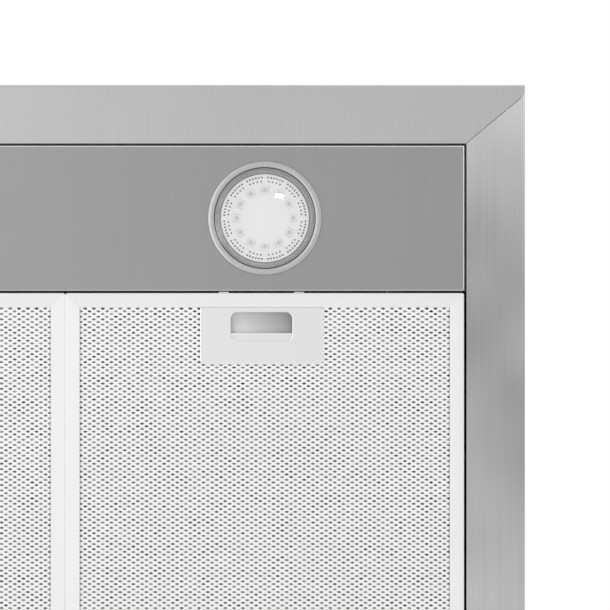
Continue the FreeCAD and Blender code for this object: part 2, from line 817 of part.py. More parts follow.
flue_upper_half = flue_width / 2 - sheet - flue_clearance
flue_upper_front = -flue_depth + sheet + flue_clearance
flue_upper_back = -flue_back_gap - sheet - flue_clearance


def flue_lower():
    cover = flue_cover(flue_width / 2, -flue_depth, -flue_back_gap, deck, deck + flue_lower_length)
    return cover.cut(flue_screws())


def flue_upper():
    """The sliding cover, with vent slots near its top."""
    made = flue_cover(flue_upper_half, flue_upper_front, flue_upper_back, flue_upper_bottom, flue_upper_top)
    y = flue_centre - flue_slot_length / 2
    for index in range(flue_slot_count):
        z = flue_upper_top - flue_slot_from_top - index * flue_slot_pitch
        made = made.cut(block(-far, far, y, y + flue_slot_length, z - flue_slot_width, z))
    return made


def flue_bracket():
    """The wall strip behind the sliding cover, with ears that lie on the cover's rear returns."""
    half = flue_upper_half - flue_back_return
    y1 = flue_upper_back - sheet
    z1 = flue_upper_top - bracket_drop
    z0 = z1 - bracket_height
    strip = block(-half + flue_clearance, half - flue_clearance, -sheet, 0, z0, z1)
    ear_half = flue_upper_half - 2 * sheet
    bridge = block(-ear_half, ear_half, y1 - sheet, y1, z0, z1)
    legs = [block(min(a, b), max(a, b), y1 - sheet, 0, z0, z1)
            for a, b in ((-half + flue_clearance, -half + flue_clearance + sheet),
                         (half - flue_clearance, half - flue_clearance - sheet))]
    bridge = bridge.cut(block(-half + flue_clearance + sheet, half - flue_clearance - sheet, -far, 0, 0, far))
    made = fuse([strip, bridge] + legs)
    for side in (-1, 1):
        place = point(side * bracket_hole_spacing / 2, -far / 2, (z0 + z1) / 2)
        made = made.cut(rod(bracket_hole_radius, far, place, Y))
    return made


# Front controls: a flush insert in the lip with push buttons, and the switch block behind
control_half = (button_count - 1) * button_pitch / 2 + button_width / 2 + bezel_margin
control_low = control_height - button_height / 2 - bezel_margin / 2
control_high = control_height + button_height / 2 + bezel_margin / 2
insert_back = front + sheet + bezel_flange_thickness
button_seat = insert_back + button_flange_thickness + button_travel + button_clearance
button_places = [(index - (button_count - 1) / 2) * button_pitch for index in range(button_count)]


def control_window(grow):
    return block(-control_half - grow, control_half + grow, front - far, front + sheet, control_low - grow,
                 control_high + grow)


def button_cap(x, grow, y0, y1):
    half, tall = button_width / 2 + grow, button_height / 2 + grow
    cap = block(x - half, x + half, y0, y1, control_height - tall, control_height + tall)
    along = [e for e in cap.Edges if abs(e.tangentAt(e.FirstParameter).y) > 0.9]
    return cap.makeFillet(button_corner + grow, along)


def control_insert():
    face = block(-control_half, control_half, front, front + sheet, control_low, control_high)
    grow = bezel_flange
    flange = block(-control_half - grow, control_half + grow, front + sheet, insert_back, control_low - grow,
                   control_high + grow)
    made = fuse([face, flange])
    for x in button_places:
        made = made.cut(button_cap(x, button_clearance, front - sheet, insert_back + sheet))
    return made


def push_button(x):
    cap = button_cap(x, 0, front, insert_back + button_clearance / 2)
    half, tall = button_width / 2 + button_flange, button_height / 2 + button_flange
    y0 = insert_back + button_clearance / 2
    collar = block(x - half, x + half, y0, y0 + button_flange_thickness, control_height - tall,
                   control_height + tall)
    stem_end = button_seat + button_travel
    stem = rod(button_stem / 2, stem_end - y0, point(x, y0, control_height), Y)
    return fuse([cap, collar, stem])


def switch_block():
    """The switch carrier: a box clipped behind the insert, with a bore for each button's stem."""
    half = control_half + bezel_flange
    low, high = control_low - bezel_flange, control_high + bezel_flange
    body = block(-half, half, button_seat, button_seat + switch_depth, low, high)
    ends = [block(x, x + sheet, insert_back, button_seat, low, high) for x in (-half, half - sheet)]
    made = fuse([body] + ends)
    depth = 2 * button_travel + 2 * button_clearance
    bore_radius = button_stem / 2 + button_clearance
    for x in button_places:
        made = made.cut(rod(bore_radius, depth, point(x, button_seat, control_height), Y))
    return made


# Electrical box on the wall sheet
box_x0 = half_width - box_from_side - box_width / 2
box_low = lip_height + sheet


def junction_box():
    x1, y0 = box_x0 + box_width, -sheet - box_depth
    shell = block(box_x0, x1, y0, -sheet, box_low, box_low + box_height)
    room = block(box_x0 + box_wall, x1 - box_wall, y0 - sheet, -sheet - box_wall, box_low + box_wall,
                 box_low + box_height - box_wall)
    hole = rod(gland_radius - box_wall, 2 * box_wall, point(box_x0 - box_wall / 2, y0 + box_depth / 2,
                                                          box_low + box_height / 2), X)
    return shell.cut(room).cut(hole)


def junction_cover():
    y0 = -sheet - box_depth
    return block(box_x0, box_x0 + box_width, y0 - box_wall, y0, box_low, box_low + box_height)


def motor_capacitor():
    y = -sheet - box_wall - capacitor_radius
    base = point(box_x0 + box_width / 2, y, box_low + box_wall)
    return rod(capacitor_radius, capacitor_length, base, Z)


def cable_gland():
    """A hollow threaded bush with a hexagon outside the box wall."""
    y, z = -sheet - box_depth / 2, box_low + box_height / 2
    base = point(box_x0, y, z)
    bush = rod(gland_radius - box_wall, gland_length + box_wall, base - X * gland_length, X)
    turns = [math.radians(60 * k) for k in range(6)]
    corners = [base + point(0, gland_radius * math.cos(t), gland_radius * math.sin(t)) for t in turns]
    head = slab(corners, X * (-gland_length / 2))
    hole = rod(gland_radius - 3 * box_wall, 3 * gland_length, base - X * 2 * gland_length, X)
    return fuse([bush, head]).cut(hole)


# Fasteners
def flue_screws():
    """Screws through the lower cover's sides into the deck's upstand."""
    z = deck + top_upstand / 2
    ends = (-flue_screw_spacing / 2, flue_screw_spacing / 2)
    right = screws([point(flue_width / 2, flue_centre + y, z) for y in ends], X * -1)
    return Part.makeCompound(right.Solids + mirrored(right).Solids)


def main():
    os.makedirs("parts", exist_ok=True)
    ahead, right = canopy_sheets()
    write("canopy_front", ahead.cut(control_window(bezel_fit)))
    write_pair("canopy_side", right)
    write("canopy_back", back_sheet())
    write("light_panel", light_panel())
    write_pair("lamp_bezel", lamp_bezel())
    write_pair("lamp_lens", lamp_lens())
    write_pair("lamp_board", lamp_board())
    write_pair("lamp_chips", lamp_chips())
    write_pair("lamp_can", lamp_can())
    write_pair("filter_frame", filter_frame())
    write_pair("filter_tabs", filter_tabs())
    write_pair("filter_mesh", mesh_sheet(mesh_low))
    write_pair("filter_mesh_upper", mesh_sheet(mesh_high - mesh_thickness))
    write_pair("filter_core", filter_core())
    write_pair("latch_plate", latch_plate())
    write_pair("latch_housing", latch_housing())
    write_pair("latch_slider", latch_slider())
    write_pair("latch_spring", latch_spring())
    write("blower_scroll", blower_scroll())
    write_pair("blower_side", blower_side())
    write("blower_wheel", blower_wheel())
    write("blower_shaft", blower_shaft())
    write("blower_motor", blower_motor())
    write("motor_spider", motor_spider())
    write("top_deck", top_deck())
    write("outlet_collar", outlet_collar())
    write("damper_pin", damper_pin())
    write("damper_flap_rear", damper_flap(1, 0))
    write("damper_flap_front", damper_flap(-1, 1))
    write("flue_lower", flue_lower())
    write("flue_upper", flue_upper())
    write("flue_bracket", flue_bracket())
    write("flue_screws", flue_screws())
    write("control_insert", control_insert())
    for index, x in enumerate(button_places):
        write("button_" + str(index + 1), push_button(x))
    write("switch_block", switch_block())
    write("junction_box", junction_box())
    write("junction_cover", junction_cover())
    write("motor_capacitor", motor_capacitor())
    write("cable_gland", cable_gland())


if __name__ == "__main__":
    main()
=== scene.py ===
import math
import random
import bmesh
import bpy
from mathutils import Matrix, Vector


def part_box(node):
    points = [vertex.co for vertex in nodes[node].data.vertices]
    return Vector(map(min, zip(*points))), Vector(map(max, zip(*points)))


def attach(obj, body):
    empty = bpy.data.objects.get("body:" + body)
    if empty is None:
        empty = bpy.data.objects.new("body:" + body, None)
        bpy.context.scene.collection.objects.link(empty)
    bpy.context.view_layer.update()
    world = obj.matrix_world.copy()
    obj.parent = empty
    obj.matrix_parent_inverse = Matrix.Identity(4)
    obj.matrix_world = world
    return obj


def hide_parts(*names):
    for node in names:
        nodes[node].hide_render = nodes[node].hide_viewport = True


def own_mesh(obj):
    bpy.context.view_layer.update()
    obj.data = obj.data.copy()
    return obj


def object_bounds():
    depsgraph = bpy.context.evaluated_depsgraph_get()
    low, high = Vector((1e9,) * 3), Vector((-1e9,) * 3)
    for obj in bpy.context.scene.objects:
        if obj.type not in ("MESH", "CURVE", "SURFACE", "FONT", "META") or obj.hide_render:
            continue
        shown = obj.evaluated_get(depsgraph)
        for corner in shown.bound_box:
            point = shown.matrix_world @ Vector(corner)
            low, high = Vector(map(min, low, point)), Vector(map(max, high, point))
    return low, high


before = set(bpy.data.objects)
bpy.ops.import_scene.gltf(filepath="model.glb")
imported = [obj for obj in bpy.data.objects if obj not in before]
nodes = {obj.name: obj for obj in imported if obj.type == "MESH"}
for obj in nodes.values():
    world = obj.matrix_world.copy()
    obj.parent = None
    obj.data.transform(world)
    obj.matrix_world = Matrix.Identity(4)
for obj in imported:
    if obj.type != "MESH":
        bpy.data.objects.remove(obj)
cad_box = [list(corner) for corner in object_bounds()]

# The studio: the camera stands below the hood in a tall pale room and looks straight up at the hood's underside,
# with the hood's front edge at the top of the picture. The room is bright all round, and soft boxes out of the
# picture give the steel slow changes of tone and light its bent edges. Painted highlights brighten the bends of the
# panel, filters and latches, and a painted reflection clouds the side rims.
mm = 0.001
picture_px = 610
mm_per_px = 0.65
corner_px = (525, 85)
camera_drop = 2600 * mm
hood_low, hood_high = (Vector(c) for c in cad_box)


def linear(hex_code):
    """An sRGB hex colour as linear red, green, blue and alpha."""
    channels = [int(hex_code[i:i + 2], 16) / 255 for i in (0, 2, 4)]
    return [c / 12.92 if c <= 0.04045 else ((c + 0.055) / 1.055) ** 2.4 for c in channels] + [1.0]


def add(tree, kind, settings, links):
    """One shader node with its settings, and with each named or numbered input fed by another's output."""
    node = tree.nodes.new(kind)
    for key, value in settings.items():
        if isinstance(key, int) or key in node.inputs:
            node.inputs[key].default_value = value
        else:
            setattr(node, key, value)
    for key, source in links.items():
        tree.links.new(source, node.inputs[key])
    return node


centre_px = picture_px / 2
camera = bpy.data.objects.new("camera", bpy.data.cameras.new("camera"))
camera.location = (hood_high.x - (corner_px[0] - centre_px) * mm_per_px * mm,
                   hood_low.y + (centre_px - corner_px[1]) * mm_per_px * mm, -camera_drop)
camera.rotation_euler = (math.pi, 0, 0)
sensor = 36
camera.data.sensor_width = sensor
camera.data.lens = sensor * camera_drop / (picture_px * mm_per_px * mm)
camera.data.clip_end = 50
bpy.context.collection.objects.link(camera)
bpy.context.scene.camera = camera
bpy.context.scene.view_settings.view_transform = "Standard"

world = bpy.data.worlds.new("pale_room")
bpy.context.scene.world = world
world.use_nodes = True
room = world.node_tree
room.nodes.clear()
paper = add(room, "ShaderNodeBackground", {"Color": linear("FFFFFF"), "Strength": 1.0}, {})
add(room, "ShaderNodeOutputWorld", {}, {"Surface": paper.outputs[0]})

floor_mesh = bpy.data.meshes.new("studio_floor")
reach = 30
floor_mesh.from_pydata([(-reach, -reach, 0), (reach, -reach, 0), (reach, reach, 0), (-reach, reach, 0)], [],
                       [(0, 1, 2, 3)])
floor = bpy.data.objects.new("studio_floor", floor_mesh)
floor.location.z = -3 * camera_drop
bpy.context.collection.objects.link(floor)
# Matt wall paint, rolled on: no gloss, and slightly lifted where it is seen, so that it meets the white room.
floor_paint = bpy.data.materials.new("pale_matt_floor_paint")
floor_paint.use_nodes = True
tree = floor_paint.node_tree
shader = tree.nodes["Principled BSDF"]
shader.inputs["Base Color"].default_value = linear("F0F0F0")
shader.inputs["Roughness"].default_value = 0.9
shader.inputs["Emission Color"].default_value = linear("FFFFFF")
path = add(tree, "ShaderNodeLightPath", {}, {})
seen = add(tree, "ShaderNodeMath", {"operation": "MAXIMUM"}, {0: path.outputs["Is Camera Ray"],
                                                           1: path.outputs["Is Glossy Ray"]})
seen = add(tree, "ShaderNodeMath", {"operation": "MAXIMUM"}, {0: seen.outputs[0],
                                                           1: path.outputs["Is Transmission Ray"]})
lift = add(tree, "ShaderNodeMath", {"operation": "MULTIPLY", 1: 0.12}, {0: seen.outputs[0]})
tree.links.new(lift.outputs[0], shader.inputs["Emission Strength"])
floor_mesh.materials.append(floor_paint)

aim = Vector((0.15, -0.35, 0.0))
for name, place, size, power in (("softbox_left", (-0.5, -0.4, -1.2), (0.9, 0.9), 1.9),
                                 ("softbox_right", (1.5, -0.9, -1.0), (0.5, 0.5), 2.0),
                                 ("softbox_front", (0.5, -3.4, -0.6), (1.6, 1.0), 8.0),
                                 ("softbox_above", (-1.7, -1.6, 2.6), (2.0, 2.0), 9.0),
                                 ("small_lamp", (0.197, -0.565, -1.5), (0.05, 0.025), 0.05)):
    lamp_data = bpy.data.lights.new(name, "AREA")
    lamp_data.shape = "RECTANGLE"
    lamp_data.size, lamp_data.size_y = size
    lamp_data.energy = power
    softbox = bpy.data.objects.new(name, lamp_data)
    softbox.location = place
    softbox.rotation_euler = (aim - Vector(place)).to_track_quat("-Z", "Y").to_euler()
    bpy.context.collection.objects.link(softbox)


# Canopy: three sheets of stainless steel, brushed in the mill, bent under the lip into a flat rim and joined at the
# front corners by a mitred seam that stays visible as a fine dark line. The front sheet's grain runs up the slope,
# the side sheets' from front to back. On the side rims a painted reflection scales the colour into broad light and
# dark clouds.
def surface(name, colour, metallic, roughness):
    """A new material, its node tree and its shader."""
    made = bpy.data.materials.new(name)
    made.use_nodes = True
    shader = made.node_tree.nodes["Principled BSDF"]
    shader.inputs["Base Color"].default_value = linear(colour)
    shader.inputs["Metallic"].default_value = metallic
    shader.inputs["Roughness"].default_value = roughness
    return made, made.node_tree, shader


def dress(material, *names):
    """Gives CAD nodes their finish."""
    for name in names:
        data = nodes[name].data
        data.materials.clear()
        data.materials.append(material)


def brushed_steel(name, light, dark, grain, roughness):
    """Stainless steel with grain along the named axes: fine lines of tone, and a broad uneven sheen.
    Real grit lines are about 0.1 mm apart, too fine to show, so they are drawn 0.9 mm apart and 120 mm long."""
    made, tree, shader = surface(name, light, 1.0, roughness)
    line_length, line_gap, patch = 120, 0.9, 160
    groove = 0.04 * mm
    scale = [1000 / (line_length if axis in grain else line_gap) for axis in "xyz"]
    place = add(tree, "ShaderNodeTexCoord", {}, {})
    stretch = add(tree, "ShaderNodeMapping", {"Scale": scale}, {"Vector": place.outputs["Object"]})
    lines = add(tree, "ShaderNodeTexNoise", {"Scale": 1.0, "Detail": 4.0, "Roughness": 0.65},
                {"Vector": stretch.outputs[0]})
    patches = add(tree, "ShaderNodeTexNoise", {"Scale": 1000 / patch, "Detail": 2.0},
                  {"Vector": place.outputs["Object"]})
    tone = add(tree, "ShaderNodeMix", {"data_type": "FLOAT", 0: 0.3},
               {2: lines.outputs["Fac"], 3: patches.outputs["Fac"]})
    ramp = add(tree, "ShaderNodeMapRange", {"From Min": 0.3, "From Max": 0.7}, {"Value": tone.outputs[0]})
    colour = add(tree, "ShaderNodeMix", {"data_type": "RGBA", 6: linear(dark), 7: linear(light)},
                 {0: ramp.outputs[0]})
    tree.links.new(colour.outputs[2], shader.inputs["Base Color"])
    gloss = add(tree, "ShaderNodeMapRange", {"To Min": roughness - 0.06, "To Max": roughness + 0.08},
                {"Value": lines.outputs["Fac"]})
    tree.links.new(gloss.outputs[0], shader.inputs["Roughness"])
    bump = add(tree, "ShaderNodeBump", {"Strength": 0.12, "Distance": groove}, {"Height": lines.outputs["Fac"]})
    tree.links.new(bump.outputs[0], shader.inputs["Normal"])
    return made


# Brushed stainless steel, ground with a fine belt: a soft sheen that is drawn out across the grain.
steel_up = brushed_steel("stainless_steel_brushed_up_the_slope", "B6B6B6", "AAAAAA", "yz", 0.42)
steel_along = brushed_steel("stainless_steel_brushed_front_to_back", "B2B2B2", "A4A4A4", "y", 0.36)
tree = steel_along.node_tree
shader = tree.nodes["Principled BSDF"]
# Painted reflection: below 3 mm height, on the rim, broad noise clouds scale the colour between 0.56 and 1.44 times,
# shifted so that the light and dark clouds fall in chosen places.
painted_reflection_size, painted_reflection_shift = 160, (1.5, 0.1, 0)
rim_top, rim_face = 3 * mm, 0.5 * mm
place = add(tree, "ShaderNodeTexCoord", {}, {})
moved = add(tree, "ShaderNodeMapping", {"Location": painted_reflection_shift}, {"Vector": place.outputs["Object"]})
painted_reflection_clouds = add(tree, "ShaderNodeTexNoise", {"Scale": 1000 / painted_reflection_size, "Detail": 2.0}, {"Vector": moved.outputs[0]})
painted_reflection_scale = add(tree, "ShaderNodeMapRange", {"From Min": 0.2, "From Max": 0.8, "To Min": 0.56, "To Max": 1.44},
            {"Value": painted_reflection_clouds.outputs["Fac"]})
height = add(tree, "ShaderNodeSeparateXYZ", {}, {0: place.outputs["Object"]})
rim = add(tree, "ShaderNodeMapRange", {"From Min": rim_top, "From Max": rim_face}, {"Value": height.outputs["Z"]})
painted_reflection_level = add(tree, "ShaderNodeMix", {"data_type": "FLOAT", 2: 1.0}, {0: rim.outputs[0], 3: painted_reflection_scale.outputs[0]})
sheet_tone = shader.inputs["Base Color"].links[0].from_socket
colour = add(tree, "ShaderNodeVectorMath", {"operation": "SCALE"}, {0: sheet_tone, 3: painted_reflection_level.outputs[0]})
tree.links.new(colour.outputs[0], shader.inputs["Base Color"])
dress(steel_up, "canopy_front")
dress(steel_along, "canopy_side_left", "canopy_side_right")


# Wall sheet and deck: plain hot-dip galvanised steel, cut and bent, hidden behind the canopy and against the wall.
# The zinc shows as a patchwork of pale and darker crystals a few millimetres across.
def galvanised(name, light, dark):
    """Hot-dip zinc: flat crystals, each with its own tone and gloss, drawn 9 mm wide."""
    made, tree, shader = surface(name, light, 1.0, 0.45)
    crystal = 9
    place = add(tree, "ShaderNodeTexCoord", {}, {})
    spangle = add(tree, "ShaderNodeTexVoronoi", {"Scale": 1000 / crystal, "Randomness": 1.0},
                  {"Vector": place.outputs["Object"]})
    grey = add(tree, "ShaderNodeSeparateColor", {}, {0: spangle.outputs["Color"]})
    colour = add(tree, "ShaderNodeMix", {"data_type": "RGBA", 6: linear(dark), 7: linear(light)},
                 {0: grey.outputs[0]})
    tree.links.new(colour.outputs[2], shader.inputs["Base Color"])
    gloss = add(tree, "ShaderNodeMapRange", {"To Min": 0.36, "To Max": 0.56}, {"Value": grey.outputs[1]})
    tree.links.new(gloss.outputs[0], shader.inputs["Roughness"])
    return made


# Galvanised steel: a cool grey patchwork with a weak sheen.
zinc = galvanised("galvanised_steel_spangled", "B4B7B9", "9DA1A4")
dress(zinc, "canopy_back", "top_deck")

# Light panel: a shallow tray of satin steel between the front rim and the filters, its edges turned up over a small
# radius. It is smoother than the canopy; its bends are polished to a low roughness and carry a painted highlight, a
# near-white colour, which is weaker on the rear bend.
# Satin stainless steel: darker and quieter than the canopy, with a painted highlight along its bends.
satin_steel = brushed_steel("stainless_steel_satin", "969696", "909090", "yz", 0.42)
tree = satin_steel.node_tree
shader = tree.nodes["Principled BSDF"]
panel_low, panel_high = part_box("light_panel")
panel_face, panel_back = panel_low[2], panel_high[1]
# Heights above the panel's face between which a bend carries the painted highlight, and depths in from the rear
# bend, where the painted highlight is weaker.
bend_foot, bend_full, bend_fade, bend_end = 0.04 * mm, 0.12 * mm, 0.6 * mm, 1.0 * mm
rear_bend, rear_clear, rear_highlight_share = 1.0 * mm, 1.6 * mm, 0.3
place = add(tree, "ShaderNodeTexCoord", {}, {})
height = add(tree, "ShaderNodeSeparateXYZ", {}, {0: place.outputs["Object"]})
start = add(tree, "ShaderNodeMapRange", {"From Min": panel_face + bend_foot, "From Max": panel_face + bend_full},
            {"Value": height.outputs["Z"]})
stop = add(tree, "ShaderNodeMapRange", {"From Min": panel_face + bend_end, "From Max": panel_face + bend_fade},
           {"Value": height.outputs["Z"]})
painted_highlight = add(tree, "ShaderNodeMath", {"operation": "MULTIPLY"}, {0: start.outputs[0], 1: stop.outputs[0]})
front = add(tree, "ShaderNodeMapRange", {"From Min": panel_back - rear_bend, "From Max": panel_back - rear_clear,
                                         "To Min": rear_highlight_share}, {"Value": height.outputs["Y"]})
painted_highlight = add(tree, "ShaderNodeMath", {"operation": "MULTIPLY"}, {0: painted_highlight.outputs[0], 1: front.outputs[0]})
# The painted highlight: on the bends the colour is mixed towards near-white F6F6F6, and the roughness towards 0.2.
for socket, polished in (("Base Color", linear("F6F6F6")), ("Roughness", 0.2)):
    flat = shader.inputs[socket].links[0].from_socket
    kind, ends, result = ("RGBA", (6, 7), 2) if socket == "Base Color" else ("FLOAT", (2, 3), 0)
    blend = add(tree, "ShaderNodeMix", {"data_type": kind, ends[1]: polished}, {0: painted_highlight.outputs[0], ends[0]: flat})
    tree.links.new(blend.outputs[result], shader.inputs[socket])
dress(satin_steel, "light_panel")


# Lamps: a plated trim ring with a satin throat, a white circuit board with a ring of chips and two rings of small
# plated holes, and a clear moulded cover that is slightly domed. Spring ears hold the cup up against the panel.
def lathe(name, profile, centre, steps):
    """A smooth turned piece: (radius, height) points in millimetres about an upright axis at centre, in metres."""
    shape = bmesh.new()
    rings = []
    for radius, height in profile:
        if radius < 1e-6:
            rings.append([shape.verts.new((centre[0], centre[1], height * mm))] * steps)
            continue
        turns = [2 * math.pi * k / steps for k in range(steps)]
        rings.append([shape.verts.new((centre[0] + radius * mm * math.cos(t), centre[1] + radius * mm * math.sin(t),
                                       height * mm)) for t in turns])
    for low, high in zip(rings, rings[1:]):
        for k in range(steps):
            corners = []
            for vert in (low[k], low[(k + 1) % steps], high[(k + 1) % steps], high[k]):
                if vert not in corners:
                    corners.append(vert)
            if len(corners) > 2:
                shape.faces.new(corners)
    bmesh.ops.recalc_face_normals(shape, faces=shape.faces)
    return finish_mesh(name, shape, 35)


def finish_mesh(name, shape, sharp_angle):
    """A bmesh as a new object, shaded smooth up to an angle in degrees."""
    data = bpy.data.meshes.new(name)
    shape.to_mesh(data)
    shape.free()
    data.shade_smooth()
    data.set_sharp_from_angle(angle=math.radians(sharp_angle))
    made = bpy.data.objects.new(name, data)
    bpy.context.collection.objects.link(made)
    return made


def settle(piece, material, body, slot_name, *replaced):
    """Gives a new piece its material, the body that it moves with and the CAD nodes that it stands for."""
    piece.data.materials.append(material)
    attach(piece, body)
    if replaced:
        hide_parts(*replaced)


def mottled(name, colours, metallic, roughness, spot, detail=2.0):
    """A finish that varies softly over spots of a size in millimetres: in its colour, where two are given, and in
    its roughness, where two are given."""
    made, tree, shader = surface(name, colours[0], metallic, roughness[0])
    place = add(tree, "ShaderNodeTexCoord", {}, {})
    mottle = add(tree, "ShaderNodeTexNoise", {"Scale": 1000 / spot, "Detail": detail},
                 {"Vector": place.outputs["Object"]})
    if len(colours) == 2:
        colour = add(tree, "ShaderNodeMix", {"data_type": "RGBA", 6: linear(colours[0]), 7: linear(colours[1])},
                     {0: mottle.outputs["Fac"]})
        tree.links.new(colour.outputs[2], shader.inputs["Base Color"])
    if len(roughness) == 2:
        gloss = add(tree, "ShaderNodeMapRange", {"To Min": roughness[0], "To Max": roughness[1]},
                    {"Value": mottle.outputs["Fac"]})
        tree.links.new(gloss.outputs[0], shader.inputs["Roughness"])
    return made


# Nickel plating, bright but not polished: grey, with soft highlights.
plated = mottled("nickel_plated_steel_satin", ["B0B0B0"], 1.0, [0.18, 0.32], 6, 3.0)
# Spun aluminium: fine rings round the throat, 0.4 mm apart, that alternate between dark and pale.
throat_metal, tree, shader = surface("aluminium_throat_spun", "A6A6A6", 1.0, 0.3)
place = add(tree, "ShaderNodeTexCoord", {}, {})
ring_gap, ring_run = 0.4, 50
rings = add(tree, "ShaderNodeMapping", {"Scale": (1000 / ring_run, 1000 / ring_run, 1000 / ring_gap)},
            {"Vector": place.outputs["Object"]})
spun = add(tree, "ShaderNodeTexNoise", {"Scale": 1.0, "Detail": 2.0}, {"Vector": rings.outputs[0]})
colour = add(tree, "ShaderNodeMix", {"data_type": "RGBA", 6: linear("7E7E7E"), 7: linear("C0C0C0")},
             {0: spun.outputs["Fac"]})
tree.links.new(colour.outputs[2], shader.inputs["Base Color"])
# White solder lacquer on the board: clean, even and slightly glossy.
board_white = mottled("circuit_board_white_lacquer", ["E0E0E0", "EBEBEB"], 0.0, [0.4], 12)
# Holes in the board: small dark grey discs of dull metal; their darkness is painted shade for the depth of each hole.
via_painted_shade = mottled("tinned_copper_holes_painted_shade", ["4E4E4E"], 0.6, [0.4, 0.6], 0.6)
# Silicone over the unlit chip: a pale grey, smooth window.
chip_resin = mottled("chip_silicone_over_phosphor", ["B4B4B4", "C8C8C8"], 0.0, [0.3], 1.5)
# The chip's moulded case: white and matt, a little darker than the board.
chip_case = mottled("polyphthalamide_chip_case", ["E2E2E0"], 0.0, [0.38, 0.52], 2)
# Polycarbonate cover, moulded in a polished tool: clear, with one sharp highlight.
clear_cover = mottled("polycarbonate_clear_polished", ["FFFFFF"], 0.0, [0.02, 0.05], 20)
shader = clear_cover.node_tree.nodes["Principled BSDF"]
shader.inputs["Transmission Weight"].default_value = 1.0
shader.inputs["IOR"].default_value = 1.58
# The cup's pressed aluminium sheet: pale and faintly patchy.
cup_metal = galvanised("aluminium_cup_pressed", "C9CACB", "BCBDBE")
# Tin solder beside each chip: thin dull grey bars.
solder = mottled("tin_solder_dull", ["D0D0D0"], 0.4, [0.4, 0.6], 1.0)

